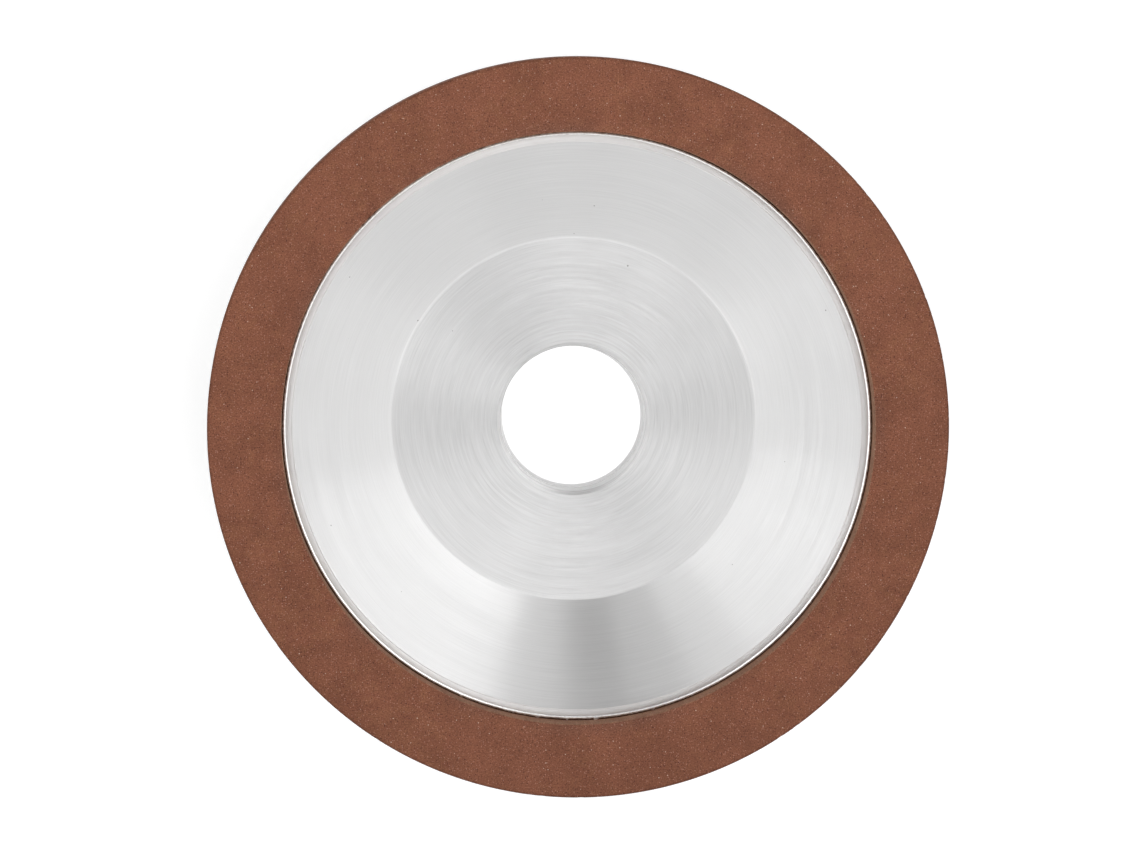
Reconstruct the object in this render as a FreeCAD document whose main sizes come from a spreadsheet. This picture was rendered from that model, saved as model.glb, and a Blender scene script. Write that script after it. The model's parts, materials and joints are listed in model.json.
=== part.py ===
import FreeCAD, Part
import Sketcher
import os

from FreeCAD import Vector

# Cup-type diamond grinding wheel, in millimetres.
# The origin is the centre of the bore on the back clamping face. +Z runs along the wheel's axis
# towards the grinding face.

doc = FreeCAD.newDocument("DiamondCupWheel")

# Driving dimensions: alias, value, what it is
dimensions = [
    ("wheelDiameter", 100, "outside of the abrasive rim"),
    ("wheelHeight", 25, "back clamping face to grinding face"),
    ("rimWidth", 10, "radial width of the abrasive rim"),
    ("diamondDepth", 5, "usable depth of the diamond layer"),
    ("backingDepth", 3, "diamond-free layer pressed under it"),
    ("bondThickness", 0.2, "adhesive between rim and seat"),
    ("beadHeight", 0.6, "adhesive squeezed up into the slot beside the rim"),
    ("slotWidth", 0.3, "radial gap between lip and rim"),
    ("landWidth", 1.2, "flat top of the lip"),
    ("lipDrop", 4.5, "grinding face down to the land"),
    ("boreDiameter", 20, "bore, a sliding fit on the spindle"),
    ("boreChamfer", 0.5, "both mouths of the bore"),
    ("floorThickness", 7, "web that is clamped between flange and nut"),
    ("floorDiameter", 50, "flat floor of the cup"),
    ("floorFillet", 0.4, "tool radius where floor meets cup wall"),
    ("backDiameter", 70, "back clamping face"),
    ("collarHeight", 2, "cylinder of the body under the rim"),
    ("collarInset", 0.2, "radial step from the rim in to the collar"),
    ("keyWidth", 1.6, "keying groove in the seat, radially"),
    ("keyDepth", 0.8, "keying groove in the seat, along the axis"),
    ("edgeBreak", 0.4, "chamfer on the body's outer edges"),
    ("lipBreak", 0.2, "chamfer on the outer edge of the lip"),
    ("rimEdgeRadius", 0.2, "dressed edges of the grinding face"),
]

sizes = doc.addObject("Spreadsheet::Sheet", "Sizes")
for row, (alias, value, meaning) in enumerate(dimensions, start=1):
    sizes.set(f"A{row}", alias)
    sizes.set(f"B{row}", str(value))
    sizes.set(f"C{row}", meaning)
    sizes.setAlias(f"B{row}", alias)
doc.recompute()

# Radii and heights that several pieces share, as expressions on the sheet
rimRadius = "(Sizes.wheelDiameter / 2)"
rimInnerRadius = f"({rimRadius} - Sizes.rimWidth)"
lipRadius = f"({rimInnerRadius} - Sizes.slotWidth)"
landInnerRadius = f"({lipRadius} - Sizes.landWidth)"
collarRadius = f"({rimRadius} - Sizes.collarInset)"
floorRadius = "(Sizes.floorDiameter / 2)"
boreRadius = "(Sizes.boreDiameter / 2)"
backRadius = "(Sizes.backDiameter / 2)"
diamondBase = "(Sizes.wheelHeight - Sizes.diamondDepth)"
backingBase = f"({diamondBase} - Sizes.backingDepth)"
seatHeight = f"({backingBase} - Sizes.bondThickness)"
landHeight = "(Sizes.wheelHeight - Sizes.lipDrop)"
collarBase = f"({seatHeight} - Sizes.collarHeight)"

# The two keying grooves divide the seat into three equal lands.
seatLand = f"(({collarRadius} - {lipRadius} - 2 * Sizes.keyWidth) / 3)"
innerKeyStart = f"({lipRadius} + {seatLand})"
innerKeyEnd = f"({innerKeyStart} + Sizes.keyWidth)"
outerKeyStart = f"({innerKeyEnd} + {seatLand})"
outerKeyEnd = f"({outerKeyStart} + Sizes.keyWidth)"


def valueOf(expression):
    """Number that an expression on the sheet gives now."""
    return float(sizes.evalExpression(expression))


def originPlane(body, role):
    for feature in body.Origin.OriginFeatures:
        if feature.Role == role:
            return feature
    raise ValueError(f"{body.Label} has no {role}")


def halfSection(body, name, *outlines):
    """Sketch of closed, straight-sided outlines on the XZ plane, radius across and height up.

    Each corner is a pair of expressions (radius, height). Sides with equal radii or equal heights
    are held vertical or horizontal, and every other corner size is bound to its expression.
    """
    sketch = body.newObject("Sketcher::SketchObject", name)
    sketch.AttachmentSupport = (originPlane(body, "XZ_Plane"), [""])
    sketch.MapMode = "FlatFace"
    for corners in outlines:
        addOutline(sketch, corners)
    doc.recompute()
    return sketch


def addOutline(sketch, corners):
    places = [Vector(valueOf(radius), valueOf(height), 0) for radius, height in corners]
    firstSide = sketch.GeometryCount
    count = len(corners)
    for k in range(count):
        sketch.addGeometry(Part.LineSegment(places[k], places[(k + 1) % count]), False)
    for k in range(count):
        nextSide = firstSide + (k + 1) % count
        sketch.addConstraint(Sketcher.Constraint("Coincident", firstSide + k, 2, nextSide, 1))
    lastRadius, lastHeight = None, None
    for k, (radius, height) in enumerate(corners):
        side = firstSide + k
        if radius == lastRadius:
            sketch.addConstraint(Sketcher.Constraint("Vertical", side - 1))
        else:
            bindDistance(sketch, "DistanceX", side, places[k].x, radius)
        if height == lastHeight:
            sketch.addConstraint(Sketcher.Constraint("Horizontal", side - 1))
        elif height == "0":
            sketch.addConstraint(Sketcher.Constraint("PointOnObject", side, 1, -1))
        else:
            bindDistance(sketch, "DistanceY", side, places[k].y, height)
        lastRadius, lastHeight = radius, height


def bindDistance(sketch, kind, side, value, expression):
    """Distance of a side's first point from the sketch's origin, bound to the sheet."""
    index = sketch.addConstraint(Sketcher.Constraint(kind, -1, 1, side, 1, value))
    sketch.setExpression(f"Constraints[{index}]", expression)


def turned(body, name, sketch, kind="PartDesign::Revolution"):
    """Full turn of a half section about the wheel's axis."""
    feature = body.newObject(kind, name)
    feature.Profile = sketch
    feature.ReferenceAxis = (sketch, ["V_Axis"])
    feature.Angle = 360
    body.Tip = feature
    doc.recompute()
    return feature


def circlesAt(feature, places):
    """Names of the round edges whose radius and height match one of the given pairs."""
    found = []
    for number, edge in enumerate(feature.Shape.Edges, start=1):
        if not isinstance(edge.Curve, Part.Circle):
            continue
        for radius, height in places:
            nearRadius = abs(edge.Curve.Radius - valueOf(radius)) < 1e-4
            nearHeight = abs(edge.Curve.Center.z - valueOf(height)) < 1e-4
            if nearRadius and nearHeight:
                found.append(f"Edge{number}")
    if len(found) != len(places):
        raise ValueError(f"{feature.Label}: {len(found)} edges found of {len(places)}")
    return found


def dressed(body, kind, name, size, places):
    """Fillet or chamfer of one size on the round edges at the given places."""
    base = body.Tip
    feature = body.newObject(kind, name)
    feature.Base = (base, circlesAt(base, places))
    sizeProperty = "Radius" if kind == "PartDesign::Fillet" else "Size"
    feature.setExpression(sizeProperty, size)
    body.Tip = feature
    doc.recompute()
    return feature


def newBody(label, base="0"):
    """Body whose own Z = 0 lies at the height that base gives."""
    body = doc.addObject("PartDesign::Body", label)
    body.Label = label
    body.setExpression("Placement.Base.z", base)
    doc.recompute()
    return body


def makeWheelBody():
    body = newBody("wheel_body")
    section = halfSection(body, "BodySection", [
        (boreRadius, "0"),
        (backRadius, "0"),
        (collarRadius, collarBase),
        (collarRadius, seatHeight),
        (lipRadius, seatHeight),
        (lipRadius, landHeight),
        (landInnerRadius, landHeight),
        (floorRadius, "Sizes.floorThickness"),
        (boreRadius, "Sizes.floorThickness"),
    ])
    blank = turned(body, "TurnedBlank", section)

    # Keying grooves, which the adhesive fills
    keyFloor = f"({seatHeight} - Sizes.keyDepth)"
    keySides = [(innerKeyStart, innerKeyEnd), (outerKeyStart, outerKeyEnd)]
    keys = halfSection(body, "KeySection", *[
        [(start, keyFloor), (end, keyFloor), (end, seatHeight), (start, seatHeight)]
        for start, end in keySides
    ])
    grooved = turned(body, "KeyGrooves", keys, "PartDesign::Groove")
    if grooved.Shape.Volume >= blank.Shape.Volume:
        raise ValueError("the keying grooves cut nothing")

    dressed(body, "PartDesign::Chamfer", "BoreMouths", "Sizes.boreChamfer",
            [(boreRadius, "0"), (boreRadius, "Sizes.floorThickness")])
    dressed(body, "PartDesign::Chamfer", "OuterEdges", "Sizes.edgeBreak",
            [(backRadius, "0"), (collarRadius, collarBase)])
    dressed(body, "PartDesign::Chamfer", "LipEdge", "Sizes.lipBreak", [(lipRadius, landHeight)])
    dressed(body, "PartDesign::Fillet", "FloorCorner", "Sizes.floorFillet",
            [(floorRadius, "Sizes.floorThickness")])
    return body


def makeRimBond():
    """Adhesive film on the seat, with its two keys below and the bead in the slot above."""
    body = newBody("rim_bond", seatHeight)
    keyFloor = "(-Sizes.keyDepth)"
    beadTop = "(Sizes.bondThickness + Sizes.beadHeight)"
    section = halfSection(body, "BondSection", [
        (lipRadius, "0"),
        (innerKeyStart, "0"),
        (innerKeyStart, keyFloor),
        (innerKeyEnd, keyFloor),
        (innerKeyEnd, "0"),
        (outerKeyStart, "0"),
        (outerKeyStart, keyFloor),
        (outerKeyEnd, keyFloor),
        (outerKeyEnd, "0"),
        (collarRadius, "0"),
        (collarRadius, "Sizes.bondThickness"),
        (rimInnerRadius, "Sizes.bondThickness"),
        (rimInnerRadius, beadTop),
        (lipRadius, beadTop),
    ])
    turned(body, "BondRing", section)
    return body


def makeRimLayer(label, base, depth):
    """One pressed layer of the rim, a plain ring."""
    body = newBody(label, base)
    section = halfSection(body, f"{label}_section", [
        (rimInnerRadius, "0"),
        (rimRadius, "0"),
        (rimRadius, depth),
        (rimInnerRadius, depth),
    ])
    turned(body, f"{label}_ring", section)
    return body


def makeDiamondRim():
    body = makeRimLayer("diamond_rim", diamondBase, "Sizes.diamondDepth")
    dressed(body, "PartDesign::Fillet", "DressedEdges", "Sizes.rimEdgeRadius",
            [(rimRadius, "Sizes.diamondDepth"), (rimInnerRadius, "Sizes.diamondDepth")])
    return body


subParts = [
    makeWheelBody(),
    makeRimBond(),
    makeRimLayer("rim_backing", backingBase, "Sizes.backingDepth"),
    makeDiamondRim(),
]
doc.recompute()

for item in doc.Objects:
    if "Invalid" in item.State or "Error" in item.State:
        raise ValueError(f"{item.Label} failed: {item.State}")

os.makedirs("parts", exist_ok=True)
for body in subParts:
    shape = body.Shape
    if shape.isNull() or not shape.isValid() or len(shape.Solids) != 1:
        raise ValueError(f"{body.Label} is not one valid solid")
    shape.exportStep(f"parts/{body.Label}.step")
    print(f"{body.Label}: {shape.Volume:.1f} mm3, z {shape.BoundBox.ZMin:.2f} to {shape.BoundBox.ZMax:.2f}")
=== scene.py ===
import json
import math
import random

import bmesh
import bpy
from mathutils import Matrix, Vector, noise


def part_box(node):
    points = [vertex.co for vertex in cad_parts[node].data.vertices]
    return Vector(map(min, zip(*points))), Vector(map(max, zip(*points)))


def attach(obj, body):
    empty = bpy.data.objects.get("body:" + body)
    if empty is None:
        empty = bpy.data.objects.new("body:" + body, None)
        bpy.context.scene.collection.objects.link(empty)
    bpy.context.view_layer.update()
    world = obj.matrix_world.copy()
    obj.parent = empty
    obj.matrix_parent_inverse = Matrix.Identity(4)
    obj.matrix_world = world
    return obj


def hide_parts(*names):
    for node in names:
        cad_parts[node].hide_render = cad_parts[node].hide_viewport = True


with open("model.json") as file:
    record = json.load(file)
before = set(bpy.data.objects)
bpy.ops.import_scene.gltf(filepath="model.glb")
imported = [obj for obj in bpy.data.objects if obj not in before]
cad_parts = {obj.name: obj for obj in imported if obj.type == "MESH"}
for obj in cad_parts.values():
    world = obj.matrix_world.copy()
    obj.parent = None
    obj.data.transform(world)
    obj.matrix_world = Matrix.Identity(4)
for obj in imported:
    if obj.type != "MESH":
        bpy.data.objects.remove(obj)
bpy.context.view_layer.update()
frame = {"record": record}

mm = 0.001
mounts = {mount["name"]: mount for mount in frame["record"]["mounts"]}
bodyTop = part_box("wheel_body")[1]
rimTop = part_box("diamond_rim")[1]


def linkTo(tree, value, socket):
    if isinstance(value, bpy.types.NodeSocket):
        tree.links.new(value, socket)
    else:
        socket.default_value = value


def mathNode(tree, operation, *values):
    node = tree.nodes.new("ShaderNodeMath")
    node.operation = operation
    for socket, value in zip(node.inputs, values):
        linkTo(tree, value, socket)
    return node.outputs[0]


def total(tree, first, *others):
    for other in others:
        first = mathNode(tree, "ADD", first, other)
    return first


def product(tree, first, *others):
    for other in others:
        first = mathNode(tree, "MULTIPLY", first, other)
    return first


def vectorNode(tree, operation, *values, output="Vector"):
    node = tree.nodes.new("ShaderNodeVectorMath")
    node.operation = operation
    for socket, value in zip(node.inputs, values):
        linkTo(tree, value, socket)
    return node.outputs[output]


def remap(tree, value, low, high, toLow=0.0, toHigh=1.0):
    node = tree.nodes.new("ShaderNodeMapRange")
    for name, setting in (("Value", value), ("From Min", low), ("From Max", high),
                          ("To Min", toLow), ("To Max", toHigh)):
        linkTo(tree, setting, node.inputs[name])
    return node.outputs["Result"]


# The same, for a length in metres between two bounds in millimetres
def remapMm(tree, length, low, high, toLow=0.0, toHigh=1.0):
    return remap(tree, length, low * mm, high * mm, toLow, toHigh)


def mixColour(tree, factor, first, second, blend="MIX"):
    node = tree.nodes.new("ShaderNodeMix")
    node.data_type = "RGBA"
    node.blend_type = blend
    linkTo(tree, factor, node.inputs[0])
    linkTo(tree, first, node.inputs[6])        # the colour sockets, past those for numbers and vectors
    linkTo(tree, second, node.inputs[7])
    return node.outputs[2]


def noiseNode(tree, vector, scale, detail=2.0, rough=0.5):
    node = tree.nodes.new("ShaderNodeTexNoise")
    linkTo(tree, vector, node.inputs["Vector"])
    node.inputs["Scale"].default_value = scale
    node.inputs["Detail"].default_value = detail
    node.inputs["Roughness"].default_value = rough
    return node.outputs["Fac"]


def splitAxes(tree, position):
    node = tree.nodes.new("ShaderNodeSeparateXYZ")
    linkTo(tree, position, node.inputs[0])
    return node.outputs


# Distance from the wheel's axis, in metres
def axisRadius(tree, position):
    return vectorNode(tree, "LENGTH", vectorNode(tree, "MULTIPLY", position, (1, 1, 0)), output="Value")


# Distance is in millimetres.
def bumpFrom(tree, shader, height, strength, distance):
    bump = tree.nodes.new("ShaderNodeBump")
    bump.inputs["Strength"].default_value = strength
    bump.inputs["Distance"].default_value = distance * mm
    linkTo(tree, height, bump.inputs["Height"])
    tree.links.new(bump.outputs[0], shader.inputs["Normal"])


def newMaterial(name):
    material = bpy.data.materials.new(name)
    material.use_nodes = True
    tree = material.node_tree
    position = tree.nodes.new("ShaderNodeTexCoord").outputs["Object"]
    return material, tree, tree.nodes["Principled BSDF"], position


def newGroup(name, inputs, outputs):
    group = bpy.data.node_groups.new(name, "ShaderNodeTree")
    for direction, sockets in (("INPUT", inputs), ("OUTPUT", outputs)):
        for socketName, kind in sockets.items():
            group.interface.new_socket(socketName, in_out=direction, socket_type=f"NodeSocket{kind}")
    return group, group.nodes.new("NodeGroupInput").outputs, group.nodes.new("NodeGroupOutput").inputs


def placeGroup(tree, group, output, **inputs):
    node = tree.nodes.new("ShaderNodeGroup")
    node.node_tree = group
    for name, value in inputs.items():
        linkTo(tree, value, node.inputs[name])
    return node.outputs[output]


# Lines that a cutting tool leaves round the axis: Feed is lines per metre, Drift how fast they change
# along the turn
def makeToolLines():
    inputs = {"Position": "Vector", "Feed": "Float", "Drift": "Float"}
    group, given, wanted = newGroup("toolLines", inputs, {"Lines": "Float"})
    radius = axisRadius(group, given["Position"])
    height = splitAxes(group, given["Position"])["Z"]
    along = product(group, total(group, radius, height), given["Feed"])
    flat = vectorNode(group, "MULTIPLY", given["Position"], (1, 1, 0))
    turn = group.nodes.new("ShaderNodeVectorMath")
    turn.operation = "SCALE"
    linkTo(group, vectorNode(group, "NORMALIZE", flat), turn.inputs[0])
    linkTo(group, given["Drift"], turn.inputs["Scale"])
    lift = group.nodes.new("ShaderNodeCombineXYZ")
    linkTo(group, along, lift.inputs["Z"])
    place = vectorNode(group, "ADD", turn.outputs[0], lift.outputs[0])
    linkTo(group, noiseNode(group, place, 1.0, 1.0, 0.4), wanted["Lines"])
    return group


# Scattered grains: Scale is grains per metre, Share the part of them that shows, Size their width
def makeGrains():
    inputs = {"Position": "Vector", "Scale": "Float", "Share": "Float", "Size": "Float"}
    group, given, wanted = newGroup("grains", inputs, {"Mask": "Float"})
    cells = group.nodes.new("ShaderNodeTexVoronoi")
    linkTo(group, given["Position"], cells.inputs["Vector"])
    linkTo(group, given["Scale"], cells.inputs["Scale"])
    pick = group.nodes.new("ShaderNodeSeparateColor")
    linkTo(group, cells.outputs["Color"], pick.inputs[0])
    shown = mathNode(group, "LESS_THAN", pick.outputs[0], given["Share"])
    width = product(group, given["Size"], remap(group, pick.outputs[1], 0, 1, 0.5, 1.0))
    near = remap(group, cells.outputs["Distance"], product(group, width, 0.6), width, 1.0, 0.0)
    linkTo(group, product(group, shown, near), wanted["Mask"])
    return group


toolLines = makeToolLines()
grains = makeGrains()
print("shader groups ready")


aluminiumLook = {
    "colour": (0.80, 0.80, 0.80, 1),
    "coarse": {"Feed": 2900, "Drift": 1.6},
    "fine": {"Feed": 8000, "Drift": 2.6},
    "hair": {"Feed": 16000, "Drift": 6.0},
    "coarseTone": (-0.040, 0.034),       # tones are added to 1, and the sum multiplies the colour
    "fineTone": (-0.040, 0.036),
    "hairTone": (-0.055, 0.055),
    "broken": {"scale": 130, "least": 0.35},    # where the coarse lines fade
    "nearBore": (12, 18),                # mm from the axis, the lines are deeper inside
    "nearBoreDepth": (2.2, 0.8),
    "wallCoarse": 0.07,                  # what the cup wall has of the coarse lines
    "wallThin": 0.62,                    # and of the fine ones
    "wallStart": 0.2,                    # mm beyond the floor
    "outsideCoarse": 0.9,
    "outsideTone": -0.36,                # painted shade: the outside and the back face are darker
    "outsideOffset": (28, 29),           # mm that radius exceeds height there
    # painted shade on the bore's chamfer
    "chamferTone": -0.04,
    # painted shade on the bore's wall
    "boreTone": -0.26,
    # painted light on the land
    "landTone": 0.13,
    "cornerTone": 0.10,                  # painted highlight on the corner round the floor, on the +Y side
    "cornerFrom": (-5, 8),               # mm along Y
    "pits": {"Scale": 420, "Share": 0.15, "Size": 0.07},
    "pitColour": (0.30, 0.29, 0.28, 1),
    "roughness": (0.37, 0.43),
    "patches": {"scale": 60, "reach": 0.015},
    "thinRelief": 0.35,
    "pitRelief": 2.0,
    "bump": (0.6, 0.01),                 # strength, and mm
}


def makeAluminium():
    look, w = aluminiumLook, wheelBody
    material, tree, shader, position = newMaterial("turnedAluminium")
    radius = axisRadius(tree, position)
    axes = splitAxes(tree, position)
    height = axes["Z"]
    coarse, fine, hair = [placeGroup(tree, toolLines, "Lines", Position=position, **look[name])
                          for name in ("coarse", "fine", "hair")]

    # The floor and the outside show deeper lines than the cup wall.
    floorEnd, wallStart = w["floorRadius"], w["floorRadius"] + look["wallStart"]
    onFloor = remapMm(tree, radius, floorEnd, wallStart, 1.0, look["wallCoarse"])
    beyond = remapMm(tree, mathNode(tree, "SUBTRACT", radius, height), *look["outsideOffset"])
    onBack = remapMm(tree, height, 0.02, 0.05, 1.0, 0.0)
    outside = mathNode(tree, "MAXIMUM", beyond, onBack)
    patchy = noiseNode(tree, position, look["broken"]["scale"], 2.0)
    broken = remap(tree, patchy, 0.38, 0.62, look["broken"]["least"], 1.0)
    deeper = remapMm(tree, radius, *look["nearBore"], *look["nearBoreDepth"])
    depth = product(tree, onFloor, deeper, broken)
    depth = total(tree, depth, product(tree, outside, look["outsideCoarse"]))
    thinDepth = remapMm(tree, radius, floorEnd, wallStart, 1.0, look["wallThin"])
    thinDepth = mathNode(tree, "MAXIMUM", thinDepth, outside)

    coarseTone = product(tree, remap(tree, coarse, 0.38, 0.62, *look["coarseTone"]), depth)
    thinTone = total(tree, remap(tree, fine, 0.30, 0.70, *look["fineTone"]),
                     remap(tree, hair, 0.25, 0.75, *look["hairTone"]))
    tone = total(tree, coarseTone, product(tree, thinTone, thinDepth), 1.0)

    # Painted shade: the bore's chamfer is a little darker.
    chamferTop = w["floorHeight"] - w["boreChamfer"]
    chamferEnd = w["bore"] + w["boreChamfer"] + 0.02
    onChamfer = product(tree, remapMm(tree, radius, chamferEnd, chamferEnd + 0.04, 1.0, 0.0),
                        remapMm(tree, height, chamferTop - 0.1, chamferTop))
    tone = total(tree, tone, product(tree, onChamfer, look["chamferTone"]))
    # Painted shade: the bore's wall is darker.
    paintedBoreWallShade = remapMm(tree, radius, w["bore"] + 0.02, w["bore"] + 0.06, look["boreTone"], 0.0)
    tone = total(tree, tone, paintedBoreWallShade)
    # Painted light: the land round the lip is lighter.
    onLand = product(tree, remapMm(tree, radius, w["landInner"] - 0.04, w["landInner"] + 0.04),
                     remapMm(tree, height, w["landHeight"] - 0.2, w["landHeight"] - 0.1))
    tone = total(tree, tone, product(tree, onLand, look["landTone"]))
    # Painted highlight: a thin ring at the corner round the floor, lighter towards +Y.
    onCorner = product(tree, remapMm(tree, radius, floorEnd - 0.25, floorEnd - 0.05),
                       remapMm(tree, radius, floorEnd + 0.05, floorEnd + 0.25, 1.0, 0.0))
    shine = remapMm(tree, axes["Y"], *look["cornerFrom"], 0.0, look["cornerTone"])
    tone = total(tree, tone, product(tree, onCorner, shine))
    # Painted shade: the outside and the back face are darker.
    tone = total(tree, tone, product(tree, outside, look["outsideTone"]))

    colour = mixColour(tree, 1.0, look["colour"], tone, "MULTIPLY")
    pits = placeGroup(tree, grains, "Mask", Position=position, **look["pits"])
    colour = mixColour(tree, pits, colour, look["pitColour"])
    tree.links.new(colour, shader.inputs["Base Color"])

    patches = noiseNode(tree, position, look["patches"]["scale"], 3.0)
    reach = look["patches"]["reach"]
    rough = total(tree, remap(tree, coarse, 0.3, 0.7, *look["roughness"]),
                  remap(tree, patches, 0.3, 0.7, -reach, reach))
    tree.links.new(rough, shader.inputs["Roughness"])
    shader.inputs["Metallic"].default_value = 1.0
    shader.inputs["Anisotropic"].default_value = 1.0         # the sheen runs across the tool's lines
    shader.inputs["Anisotropic Rotation"].default_value = 0.25
    tangent = tree.nodes.new("ShaderNodeTangent")
    tangent.direction_type = "RADIAL"
    tangent.axis = "Z"
    tree.links.new(tangent.outputs[0], shader.inputs["Tangent"])
    relief = total(tree, product(tree, coarse, depth), product(tree, fine, thinDepth, look["thinRelief"]))
    relief = mathNode(tree, "SUBTRACT", relief, product(tree, pits, look["pitRelief"]))
    bumpFrom(tree, shader, relief, *look["bump"])
    return material


burrLook = {
    "shade": (0.70, 0.69, 0.68, 1),
    "shine": (0.90, 0.90, 0.89, 1),
    "roughness": (0.34, 0.50),
    "bump": (0.5, 0.03),
}


def makeBurrMetal():
    look = burrLook
    material, tree, shader, position = newMaterial("burrMetal")
    ragged = noiseNode(tree, position, 2500, 3.0)
    colour = mixColour(tree, remap(tree, ragged, 0.35, 0.65), look["shade"], look["shine"])
    tree.links.new(colour, shader.inputs["Base Color"])
    shader.inputs["Metallic"].default_value = 1.0
    tree.links.new(remap(tree, ragged, 0.3, 0.7, *look["roughness"]), shader.inputs["Roughness"])
    bumpFrom(tree, shader, ragged, *look["bump"])
    return material


diamondLook = {
    "resin": (0.190, 0.072, 0.043, 1),
    "ochre": (0.211, 0.085, 0.048, 1),
    "rose": (0.200, 0.077, 0.046, 1),
    "skin": (0.250, 0.140, 0.088, 1),       # the moulded wall inside the rim
    "greyFilm": (0.150, 0.072, 0.052, 1),   # resin rubbed off near the inner edge
    "filmCover": 0.45,
    "filmWidth": (0.2, 2.0),                # mm from the inner edge
    "grainTone": (0.50, 1.50),
    "patchTone": (0.91, 1.09),
    "sideTone": (0.92, 1.06),               # painted light and shade: the resin is lighter towards +Y and darker towards -Y
    "edgeTone": 0.60,                       # painted shade, darker at the outer edge
    "paleColour": (0.36, 0.175, 0.125, 1),
    "pale": {"Scale": 4400, "Share": 0.34, "Size": 0.46},
    "darkColour": (0.070, 0.027, 0.020, 1),
    "dark": {"Scale": 4000, "Share": 0.28, "Size": 0.46},
    "brightColour": (0.66, 0.50, 0.40, 1),
    "bright": {"Scale": 3400, "Share": 0.028, "Size": 0.32},
    "grainCover": 0.75,
    "brightCover": 0.7,
    "brightPolish": 0.35,                   # the bright grains are smoother by this
    "roughness": (0.74, 0.9),
    "paleRelief": 0.5,
    "darkRelief": 0.7,
    "bump": (0.55, 0.035),
}


def makeDiamondResin():
    look = diamondLook
    material, tree, shader, position = newMaterial("diamondResin")
    radius = axisRadius(tree, position)
    inner, outer = diamondRim["inner"], rimTop.x / mm
    mottle = noiseNode(tree, position, 900, 3.0)
    cloud = noiseNode(tree, position, 140, 3.0)
    grain = noiseNode(tree, position, 5200, 3.0, 0.65)
    colour = mixColour(tree, remap(tree, mottle, 0.40, 0.64), look["resin"], look["ochre"])
    colour = mixColour(tree, remap(tree, cloud, 0.42, 0.62), colour, look["rose"])

    # A greyer film lies just outside the inner edge, in patches.
    filmStart, filmEnd = look["filmWidth"]
    film = product(tree, remapMm(tree, radius, inner + filmStart, inner + filmEnd, look["filmCover"], 0.0),
                   remap(tree, noiseNode(tree, position, 75, 3.0), 0.42, 0.60))
    colour = mixColour(tree, film, colour, look["greyFilm"])
    onWall = remapMm(tree, radius, inner + 0.05, inner + 0.16, 1.0, 0.0)
    streaks = noiseNode(tree, vectorNode(tree, "MULTIPLY", position, (1, 1, 0.12)), 1800, 3.0)
    skin = mixColour(tree, remap(tree, streaks, 0.3, 0.7, 0.0, 0.5), look["skin"], look["resin"])
    colour = mixColour(tree, onWall, colour, skin)

    # Painted shade: the grinding face is darker at its outer edge.
    edgeTone = remapMm(tree, radius, outer - 0.40, outer - 0.02, 1.0, look["edgeTone"])
    # Painted light and shade across the face: lighter towards +Y, darker towards -Y.
    sideTone = remapMm(tree, splitAxes(tree, position)["Y"], -outer, outer, *look["sideTone"])
    patchTone = remap(tree, noiseNode(tree, position, 260, 3.0), 0.35, 0.65, *look["patchTone"])
    grainTone = remap(tree, grain, 0.28, 0.72, *look["grainTone"])
    tone = product(tree, grainTone, product(tree, edgeTone, product(tree, sideTone, patchTone)))
    colour = mixColour(tree, 1.0, colour, tone, "MULTIPLY")
    shifted = vectorNode(tree, "ADD", position, (0.013, 0.007, 0.003))
    pale = placeGroup(tree, grains, "Mask", Position=position, **look["pale"])
    dark = placeGroup(tree, grains, "Mask", Position=shifted, **look["dark"])
    bright = placeGroup(tree, grains, "Mask", Position=shifted, **look["bright"])
    colour = mixColour(tree, product(tree, dark, look["grainCover"]), colour, look["darkColour"])
    colour = mixColour(tree, product(tree, pale, look["grainCover"]), colour, look["paleColour"])
    colour = mixColour(tree, product(tree, bright, look["brightCover"]), colour, look["brightColour"])
    tree.links.new(colour, shader.inputs["Base Color"])

    rough = mathNode(tree, "SUBTRACT", remap(tree, grain, 0.3, 0.7, *look["roughness"]),
                     product(tree, bright, look["brightPolish"]))
    tree.links.new(rough, shader.inputs["Roughness"])
    shader.inputs["Specular IOR Level"].default_value = 0.1
    relief = total(tree, grain, product(tree, pale, look["paleRelief"]))
    relief = mathNode(tree, "SUBTRACT", relief, product(tree, dark, look["darkRelief"]))
    bumpFrom(tree, shader, relief, *look["bump"])
    return material


backingLook = {
    "resin": (0.085, 0.048, 0.036, 1),
    "worn": (0.120, 0.074, 0.056, 1),
    "fillerColour": (0.34, 0.29, 0.25, 1),
    "filler": {"Scale": 2300, "Share": 0.06, "Size": 0.38},
    "sootColour": (0.028, 0.018, 0.015, 1),
    "soot": {"Scale": 1900, "Share": 0.10, "Size": 0.42},
    "fillerCover": 0.7,
    "roughness": (0.66, 0.9),
    "bump": (0.6, 0.05),
}


def makeBackingResin():
    look = backingLook
    material, tree, shader, position = newMaterial("backingResin")
    coarse = noiseNode(tree, position, 1700, 4.0, 0.6)
    patches = noiseNode(tree, position, 160, 2.0)
    colour = mixColour(tree, remap(tree, patches, 0.35, 0.65), look["resin"], look["worn"])
    colour = mixColour(tree, 1.0, colour, remap(tree, coarse, 0.28, 0.72, 0.75, 1.3), "MULTIPLY")
    shifted = vectorNode(tree, "ADD", position, (0.02, 0.01, 0))
    filler = placeGroup(tree, grains, "Mask", Position=position, **look["filler"])
    soot = placeGroup(tree, grains, "Mask", Position=shifted, **look["soot"])
    colour = mixColour(tree, soot, colour, look["sootColour"])
    colour = mixColour(tree, product(tree, filler, look["fillerCover"]), colour, look["fillerColour"])
    tree.links.new(colour, shader.inputs["Base Color"])
    tree.links.new(remap(tree, coarse, 0.3, 0.7, *look["roughness"]), shader.inputs["Roughness"])
    bumpFrom(tree, shader, mathNode(tree, "SUBTRACT", coarse, soot), *look["bump"])
    return material


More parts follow.
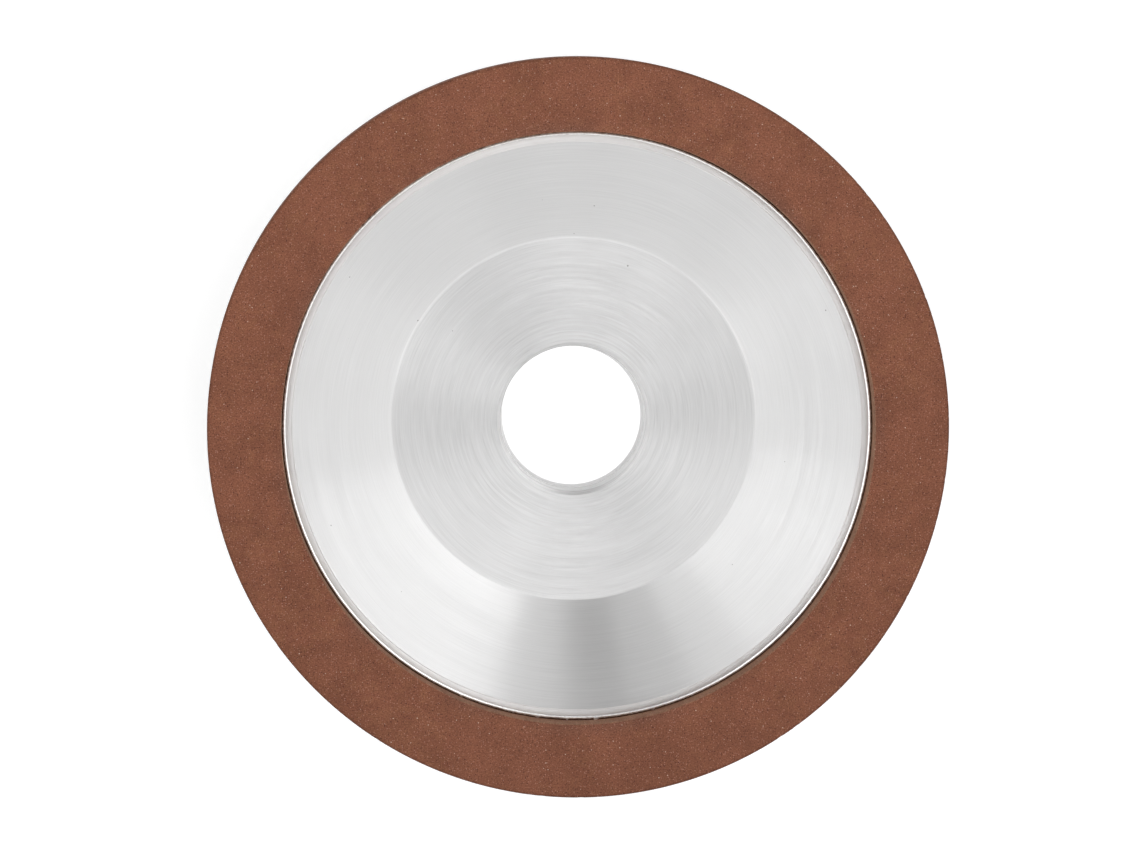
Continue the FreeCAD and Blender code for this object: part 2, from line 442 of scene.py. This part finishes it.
adhesiveLook = {
    "thick": (0.045, 0.024, 0.013, 1),
    "thin": (0.095, 0.052, 0.027, 1),
    "bubbleColour": (0.02, 0.011, 0.007, 1),
    "bubbles": {"Scale": 1500, "Share": 0.12, "Size": 0.35},
    "roughness": (0.30, 0.55),
    "bump": (0.5, 0.06),
}


def makeAdhesive():
    look = adhesiveLook
    material, tree, shader, position = newMaterial("adhesive")
    flow = noiseNode(tree, position, 500, 3.0)
    bubbles = placeGroup(tree, grains, "Mask", Position=position, **look["bubbles"])
    colour = mixColour(tree, remap(tree, flow, 0.3, 0.7), look["thick"], look["thin"])
    colour = mixColour(tree, bubbles, colour, look["bubbleColour"])
    tree.links.new(colour, shader.inputs["Base Color"])
    tree.links.new(remap(tree, flow, 0.3, 0.7, *look["roughness"]), shader.inputs["Roughness"])
    bumpFrom(tree, shader, mathNode(tree, "SUBTRACT", flow, bubbles), *look["bump"])
    return material


dustLook = {
    "dark": (0.100, 0.052, 0.034, 1),
    "pale": (0.215, 0.128, 0.088, 1),
    "roughness": 0.95,
    "bump": (0.6, 0.06),
}


def makePackedDust():
    look = dustLook
    material, tree, shader, position = newMaterial("packedDust")
    clumps = noiseNode(tree, position, 2600, 3.0, 0.6)
    colour = mixColour(tree, remap(tree, clumps, 0.35, 0.65), look["dark"], look["pale"])
    tree.links.new(colour, shader.inputs["Base Color"])
    shader.inputs["Roughness"].default_value = look["roughness"]
    shader.inputs["Specular IOR Level"].default_value = 0.1
    bumpFrom(tree, shader, clumps, *look["bump"])
    return material


sharpAngle = math.radians(28)


def spunSection(corners, steps):
    bm = bmesh.new()
    verts = [bm.verts.new((radius * mm, 0, height * mm)) for radius, height in corners]
    edges = [bm.edges.new(pair) for pair in zip(verts, verts[1:] + verts[:1])]
    bmesh.ops.spin(bm, geom=verts + edges, cent=(0, 0, 0), axis=(0, 0, 1), angle=math.tau,
                   steps=steps, use_merge=True)
    bmesh.ops.recalc_face_normals(bm, faces=bm.faces)
    return bm


# Chamfer or round off the circular edge at this radius and height, in millimetres
def breakEdge(bm, radius, height, width, segments):
    def onCircle(vert):
        near = abs(vert.co.xy.length - radius * mm) < 0.01 * mm
        return near and abs(vert.co.z - height * mm) < 0.01 * mm

    ring = [edge for edge in bm.edges if all(onCircle(vert) for vert in edge.verts)]
    if not ring:
        raise ValueError(f"no edge at radius {radius} and height {height}")
    bmesh.ops.bevel(bm, geom=ring, offset=width * mm, affect="EDGES", segments=segments,
                    profile=0.5, material=-1)


# Unit vector from the wheel's axis towards a point
def outwardAt(vert):
    return Vector((vert.co.x, vert.co.y, 0)).normalized()


def finishPiece(bm, name, material, slotName, *nodes):
    mesh = bpy.data.meshes.new(name)
    bm.to_mesh(mesh)
    bm.free()
    mesh.materials.append(material)
    mesh.shade_smooth()
    mesh.set_sharp_from_angle(angle=sharpAngle)
    piece = bpy.data.objects.new(name, mesh)
    bpy.context.scene.collection.objects.link(piece)
    if nodes:
        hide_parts(*nodes)
    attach(piece, "root")


wheelBody = {                # millimetres
    "steps": 320,
    "bore": mounts["bore"]["dims"]["r_mm"],
    "boreChamfer": 0.5,
    "floorHeight": mounts["floor_face"]["pos_m"][2] / mm,
    "floorRadius": 25.0,
    "floorRound": 0.11,
    "landInner": 38.5,
    "landRound": 0.06,
    "landHeight": bodyTop.z / mm,
    "landLine": 38.67,       # one line that the tool left in the land
    "lineWidth": 0.07,
    "lineDepth": 0.02,
    "lipRadius": 39.7,
    "lipRound": 0.2,
    "seatHeight": 16.8,
    "keys": (42.0, 45.9),    # inner sides of the keying grooves in the seat
    "keyWidth": 1.6,
    "keyDepth": 0.8,
    "collarRadius": round(bodyTop.x / mm, 3),
    "collarBase": 14.8,
    "backRadius": 35.0,
    "edgeBreak": 0.4,
    "floorFeed": 0.5,        # one pass of the tool
    "floorFeedDepth": 0.005,
    "floorPlain": (0.4, 0.8),    # left flat beside the cup wall, and beside the bore
    "backFeed": 0.85,
    "backFeedDepth": 0.008,
    "backPlain": 1.0,
}


# Shallow valleys that the tool's round nose leaves on a flat face, from start to end radius
def feedScallops(start, end, height, feed, depth, chance):
    count = round(abs(end - start) / feed)
    corners = []
    for k in range(count):
        cut = depth * chance.uniform(0.5, 1.0)
        corners.append((start + (end - start) * k / count, height))
        corners.append((start + (end - start) * (k + 0.5) / count, height + cut))
    corners.append((end, height))
    return corners


# Section of one keying groove, from its inner side outwards
def keyCorners(start):
    end, seat = start + wheelBody["keyWidth"], wheelBody["seatHeight"]
    floor = seat - wheelBody["keyDepth"]
    return [(start, seat), (start, floor), (end, floor), (end, seat)]


def makeWheelBody():
    w = wheelBody
    chance = random.Random(11)
    seat, land, floor = w["seatHeight"], w["landHeight"], w["floorHeight"]
    corners = [(w["bore"], 0.0)]
    corners += feedScallops(w["bore"] + w["backPlain"], w["backRadius"] - w["backPlain"], 0.0,
                            w["backFeed"], w["backFeedDepth"], chance)
    corners += [(w["backRadius"], 0.0), (w["collarRadius"], w["collarBase"]), (w["collarRadius"], seat)]
    for key in reversed(w["keys"]):
        corners += reversed(keyCorners(key))
    corners += [(w["lipRadius"], seat), (w["lipRadius"], land)]
    corners += [(w["landLine"] + w["lineWidth"], land), (w["landLine"], land - w["lineDepth"]),
                (w["landLine"] - w["lineWidth"], land)]
    corners += [(w["landInner"], land), (w["floorRadius"], floor)]
    besideWall, besideBore = w["floorPlain"]
    corners += feedScallops(w["floorRadius"] - besideWall, w["bore"] + besideBore, floor,
                            w["floorFeed"], -w["floorFeedDepth"], chance)
    corners += [(w["bore"], floor)]
    bm = spunSection(corners, w["steps"])
    breakEdge(bm, w["bore"], 0.0, w["boreChamfer"], 1)
    breakEdge(bm, w["bore"], floor, w["boreChamfer"], 1)
    breakEdge(bm, w["backRadius"], 0.0, w["edgeBreak"], 2)
    breakEdge(bm, w["collarRadius"], w["collarBase"], w["edgeBreak"], 2)
    breakEdge(bm, w["floorRadius"], floor, w["floorRound"], 3)
    breakEdge(bm, w["lipRadius"], land, w["lipRound"], 3)
    breakEdge(bm, w["landInner"], land, w["landRound"], 2)
    finishPiece(bm, "wheelBody", turnedAluminium, "turned_aluminium", "wheel_body")


lipBurr = {                  # millimetres, and degrees round the wheel
    "steps": 1080,
    "section": ((39.44, 20.485), (39.64, 20.63), (39.81, 20.58), (39.71, 20.34)),
    "rootRadius": 39.5,      # the burr is even inside this
    "growth": 0.24,          # and grows ragged over this width beyond it
    "raggedness": 0.07,
    # Bearing, width round the wheel and length of each flake
    "flakes": ((262.1, 1.0, 0.20), (273.6, 1.2, 0.20), (246.6, 0.6, 0.14), (284.9, 0.5, 0.14),
               (268.0, 0.3, 0.16)),
}


def makeLipBurr():
    b = lipBurr
    bm = spunSection(b["section"], b["steps"])
    for vert in bm.verts:
        outward = outwardAt(vert)
        bearing = math.degrees(math.atan2(vert.co.y, vert.co.x)) % 360
        reach = max(0.0, vert.co.xy.length / mm - b["rootRadius"]) / b["growth"]
        ragged = noise.noise(outward * 130) * 0.6 + noise.noise(outward * 310) * 0.4
        grow = b["raggedness"] * ragged
        for flakeBearing, width, length in b["flakes"]:
            away = abs(bearing - flakeBearing) / (width / 2)
            if away < 1:
                grow += length * (1 - away ** 2) * (0.7 + 0.3 * noise.noise(outward * 700))
        vert.co += outward * grow * reach * mm
        vert.co.z += b["raggedness"] * 0.5 * noise.noise(outward * 220) * reach * mm
    finishPiece(bm, "lipBurr", burrMetal, "turned_aluminium")


slotDust = {                 # millimetres, grinding dust packed in the slot between the lip and the rim
    "steps": 720,
    "inner": 39.68,
    "outer": 40.02,
    "base": 18.4,
    "top": 20.12,
    "ripple": 0.16,
}


def makeSlotDust():
    d = slotDust
    middle = (d["inner"] + d["outer"]) / 2
    bm = spunSection([(d["inner"], d["base"]), (d["outer"], d["base"]), (d["outer"], d["top"]),
                      (middle, d["top"]), (d["inner"], d["top"])], d["steps"])
    for vert in bm.verts:
        if vert.co.z > (d["top"] - 0.1) * mm:
            heap = noise.noise(outwardAt(vert) * 23) + 0.6 * noise.noise(vert.co * 2400)
            vert.co.z += d["ripple"] * heap * mm
    finishPiece(bm, "slotDust", packedDust, "diamond_resin")


seamDepth = 0.10             # millimetres


# Height of the uneven seam between the rim's two pressed layers, above its mean
def seamRise(vert):
    outward = outwardAt(vert)
    return seamDepth * (noise.noise(outward * 6) + 0.5 * noise.noise(outward * 19)) * mm


diamondRim = {               # millimetres
    "steps": 1200,
    "inner": 40.0,
    "faceMiddle": 45.0,      # a ring of points halfway across the grinding face
    "edgeRound": 0.2,
    "innerNicks": {"count": 90, "push": 1.0},      # push is how far outwards, as a share of the depth
    "outerNicks": {"count": 32, "push": -0.45},
    "nickWidth": (0.10, 0.45),
    "nickDepth": (0.02, 0.09),
    "nickReach": 0.25,       # from the corner, what a nick can move
}


# Small nicks in the grinding edge at one radius, each a dip in the nearest points
def nickEdge(bm, nicks, edgeRadius, top, chance):
    d = diamondRim
    stepAngle = math.tau / d["steps"]
    columns = {}             # the edge's points, by their step round the wheel
    for vert in bm.verts:
        beside = abs(vert.co.xy.length - edgeRadius * mm) < d["nickReach"] * mm
        if beside and vert.co.z > (top - d["nickReach"]) * mm:
            step = round(math.atan2(vert.co.y, vert.co.x) / stepAngle) % d["steps"]
            columns.setdefault(step, []).append(vert)
    for _ in range(nicks["count"]):
        middleStep = chance.randrange(d["steps"])
        width = chance.uniform(*d["nickWidth"])
        depth = chance.uniform(*d["nickDepth"])
        reach = math.ceil(width / (edgeRadius * stepAngle))
        for step in range(middleStep - reach, middleStep + reach + 1):
            away = abs(step - middleStep) * stepAngle * edgeRadius / width
            if away >= 1:
                continue
            for vert in columns[step % d["steps"]]:
                push = outwardAt(vert) * nicks["push"] - Vector((0, 0, abs(nicks["push"])))
                vert.co += push * depth * (1 - away ** 2) * mm


def makeDiamondRim():
    d = diamondRim
    low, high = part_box("diamond_rim")
    base, top, outer = low.z / mm, high.z / mm, high.x / mm
    middle = (base + top) / 2
    bm = spunSection([(d["inner"], base), (outer, base), (outer, middle), (outer, top),
                      (d["faceMiddle"], top), (d["inner"], top), (d["inner"], middle)], d["steps"])
    breakEdge(bm, outer, top, d["edgeRound"], 3)
    breakEdge(bm, d["inner"], top, d["edgeRound"], 3)
    for vert in bm.verts:
        if vert.co.z < (base + 0.1) * mm:
            vert.co.z += seamRise(vert)
    chance = random.Random(23)
    nickEdge(bm, d["innerNicks"], d["inner"], top, chance)
    nickEdge(bm, d["outerNicks"], outer, top, chance)
    finishPiece(bm, "diamondRim", diamondResin, "diamond_resin", "diamond_rim")


rimBacking = {               # millimetres
    "steps": 720,
    "inner": diamondRim["inner"],
    "edgeRound": 0.06,
    "sink": 0.04,            # its outside stands back from the diamond layer's
}


def makeRimBacking():
    r = rimBacking
    low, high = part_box("rim_backing")
    base, top = low.z / mm, high.z / mm
    outer = high.x / mm - r["sink"]
    bm = spunSection([(r["inner"], base), (outer, base), (outer, (base + top) / 2), (outer, top),
                      (r["inner"], top)], r["steps"])
    breakEdge(bm, outer, base, r["edgeRound"], 2)
    breakEdge(bm, outer, top, r["edgeRound"], 2)
    for vert in bm.verts:
        if vert.co.z > (top - 0.2) * mm:
            vert.co.z += seamRise(vert)
    finishPiece(bm, "rimBacking", backingResin, "backing_resin", "rim_backing")


rimBond = {                  # millimetres
    "steps": 480,
    "bulge": 0.12,           # adhesive squeezed out at the collar
    "beadRipple": 0.15,
}


def makeRimBond():
    g, w = rimBond, wheelBody
    seat, top = w["seatHeight"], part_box("rim_bond")[1].z / mm
    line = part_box("rim_backing")[0].z / mm
    middle = (seat + line) / 2
    inner = rimBacking["inner"]
    corners = [(w["lipRadius"], seat)]
    for key in w["keys"]:
        corners += keyCorners(key)
    corners += [(w["collarRadius"], seat), (w["collarRadius"], middle), (w["collarRadius"], line),
                (inner, line), (inner, top), ((inner + w["lipRadius"]) / 2, top), (w["lipRadius"], top)]
    bm = spunSection(corners, g["steps"])
    for vert in bm.verts:
        outward = outwardAt(vert)
        flow = noise.noise(outward * 9) + 0.6 * noise.noise(outward * 40)
        onEdge = abs(vert.co.xy.length / mm - w["collarRadius"]) < 0.01
        if onEdge and abs(vert.co.z / mm - middle) < 0.01:
            vert.co += outward * g["bulge"] * max(0.0, 0.5 + flow) * mm
        if vert.co.z / mm > top - 0.01:
            vert.co.z += g["beadRipple"] * (flow - 1.2) * mm
    finishPiece(bm, "rimBond", adhesive, "adhesive", "rim_bond")


turnedAluminium = makeAluminium()
burrMetal = makeBurrMetal()
diamondResin = makeDiamondResin()
backingResin = makeBackingResin()
adhesive = makeAdhesive()
packedDust = makePackedDust()
print("materials ready")

makeWheelBody()
makeLipBurr()
makeDiamondRim()
makeRimBacking()
makeRimBond()
makeSlotDust()
print("pieces ready")


studio = {
    "floorSize": 8.0,            # metres
    "floorColour": (0.93, 0.93, 0.93, 1),
    "floorGlow": 0.25,
    "boreGlow": 0.75,            # painted light: a brighter glowing disc of floor seen through the bore
    "boreRing": 0.13,            # painted shadow: a dimmer ring of floor beside the bore's wall
    "tableEdge": (9.53, 9.61),   # millimetres from the wheel's axis, where the painted light disc ends
    "borderEdge": (12, 30),
    "sky": 0.25,                 # light from all round
    "backdrop": 1.0,             # and how bright it looks behind the wheel
    "boxDistance": 0.7,          # metres
    "boxHeight": 0.20,
}

# Each row of boxes stands in a ring. Elevation and the first box's bearing are in degrees, the boxes'
# width is in metres, and watts are listed anticlockwise.
softBoxes = {
    "wall": {"elevation": 22, "width": 0.174, "first": 2,
             "watts": (0.31, 0.37, 0.40, 0.40, 0.41, 0.16, 0, 0.14, 0.32, 0.47, 0.43, 0.39,
                       0.33, 0.32, 0.30, 0.25, 0.23, 0.19, 0.15, 0.12, 0.21, 0.21, 0.27, 0.27)},
    "shoulder": {"elevation": 42, "width": 0.50, "first": 32,
                 "watts": (0.19, 0, 0, 0.08, 0.16, 0.02)},
    "upper": {"elevation": 68, "width": 0.13, "first": 15,
              "watts": (0.09, 0.14, 0.09, 0, 0, 0.15, 0.06, 0.15, 0.09, 0.25, 0.21, 0.16)},
    "overhead": {"elevation": 81, "width": 0.09, "first": 0,
                 "watts": (0.02, 0.09, 0.04, 0.03, 0.01, 0, 0, 0)},
}


def makeFloor():
    bm = bmesh.new()
    bmesh.ops.create_grid(bm, x_segments=1, y_segments=1, size=studio["floorSize"] / 2)
    mesh = bpy.data.meshes.new("studioFloor")
    bm.to_mesh(mesh)
    bm.free()
    material, tree, shader, position = newMaterial("paleFloor")
    shader.inputs["Base Color"].default_value = studio["floorColour"]
    shader.inputs["Roughness"].default_value = 0.8
    radius = axisRadius(tree, position)
    # Painted light: a bright glowing disc of floor under the bore.
    paintedLightDisc = remapMm(tree, radius, *studio["tableEdge"], studio["boreGlow"] - studio["boreRing"], 0.0)
    # Painted shadow: a dimmer ring round the bore that fades into the even floor glow.
    floorGlowAndPaintedShadow = remapMm(tree, radius, *studio["borderEdge"], studio["boreRing"], studio["floorGlow"])
    linkTo(tree, total(tree, paintedLightDisc, floorGlowAndPaintedShadow), shader.inputs["Emission Color"])
    shader.inputs["Emission Strength"].default_value = 1.0
    mesh.materials.append(material)
    floor = bpy.data.objects.new("studioFloor", mesh)
    bpy.context.scene.collection.objects.link(floor)


def makeLights():
    centre = Vector((0, 0, rimTop.z))
    for name, ring in softBoxes.items():
        rise = math.radians(ring["elevation"])
        for k, watts in enumerate(ring["watts"]):
            if watts == 0:
                continue
            turn = math.radians(ring["first"] + k * 360 / len(ring["watts"]))
            flat = Vector((math.cos(turn), math.sin(turn), 0))
            outward = flat * math.cos(rise) + Vector((0, 0, math.sin(rise)))
            data = bpy.data.lights.new(name, "AREA")
            data.shape = "RECTANGLE"
            data.size = ring["width"]
            data.size_y = studio["boxHeight"]
            data.energy = watts
            lamp = bpy.data.objects.new(name, data)
            bpy.context.scene.collection.objects.link(lamp)
            lamp.location = centre + outward * studio["boxDistance"]
            lamp.rotation_mode = "QUATERNION"
            lamp.rotation_quaternion = outward.to_track_quat("Z", "Y")
            lamp.visible_camera = False


def makeSky():
    world = bpy.data.worlds.new("studioSky")
    bpy.context.scene.world = world
    world.use_nodes = True
    tree = world.node_tree
    background = tree.nodes["Background"]
    background.inputs["Color"].default_value = (1, 1, 1, 1)
    seen = tree.nodes.new("ShaderNodeLightPath").outputs["Is Camera Ray"]
    linkTo(tree, remap(tree, seen, 0, 1, studio["sky"], studio["backdrop"]), background.inputs["Strength"])
    bpy.context.scene.view_settings.view_transform = "Standard"


view = {
    "height": 0.9,          # metres above the grinding face
    "tilt": 5.06,           # degrees off the wheel's axis
    "bearing": 119.0,       # degrees from +X, the side that the camera leans to
    "aim": (-0.0012, 0.0002),    # metres from the axis, on the grinding face's plane
    "lens": 212.0,          # millimetres
}


def makeCamera():
    lean = view["height"] * math.tan(math.radians(view["tilt"]))
    turn = math.radians(view["bearing"])
    eye = Vector((lean * math.cos(turn), lean * math.sin(turn), rimTop.z + view["height"]))
    forward = (Vector((*view["aim"], rimTop.z)) - eye).normalized()
    right = forward.cross(Vector((0, 1, 0))).normalized()
    up = right.cross(forward)
    data = bpy.data.cameras.new("studioCamera")
    data.lens = view["lens"]
    data.sensor_width = 36
    data.clip_start = 0.01
    data.clip_end = 20
    camera = bpy.data.objects.new("studioCamera", data)
    bpy.context.scene.collection.objects.link(camera)
    camera.matrix_world = Matrix.Translation(eye) @ Matrix((right, up, -forward)).transposed().to_4x4()
    bpy.context.scene.camera = camera


makeFloor()
makeLights()
makeSky()
makeCamera()
print("studio ready")
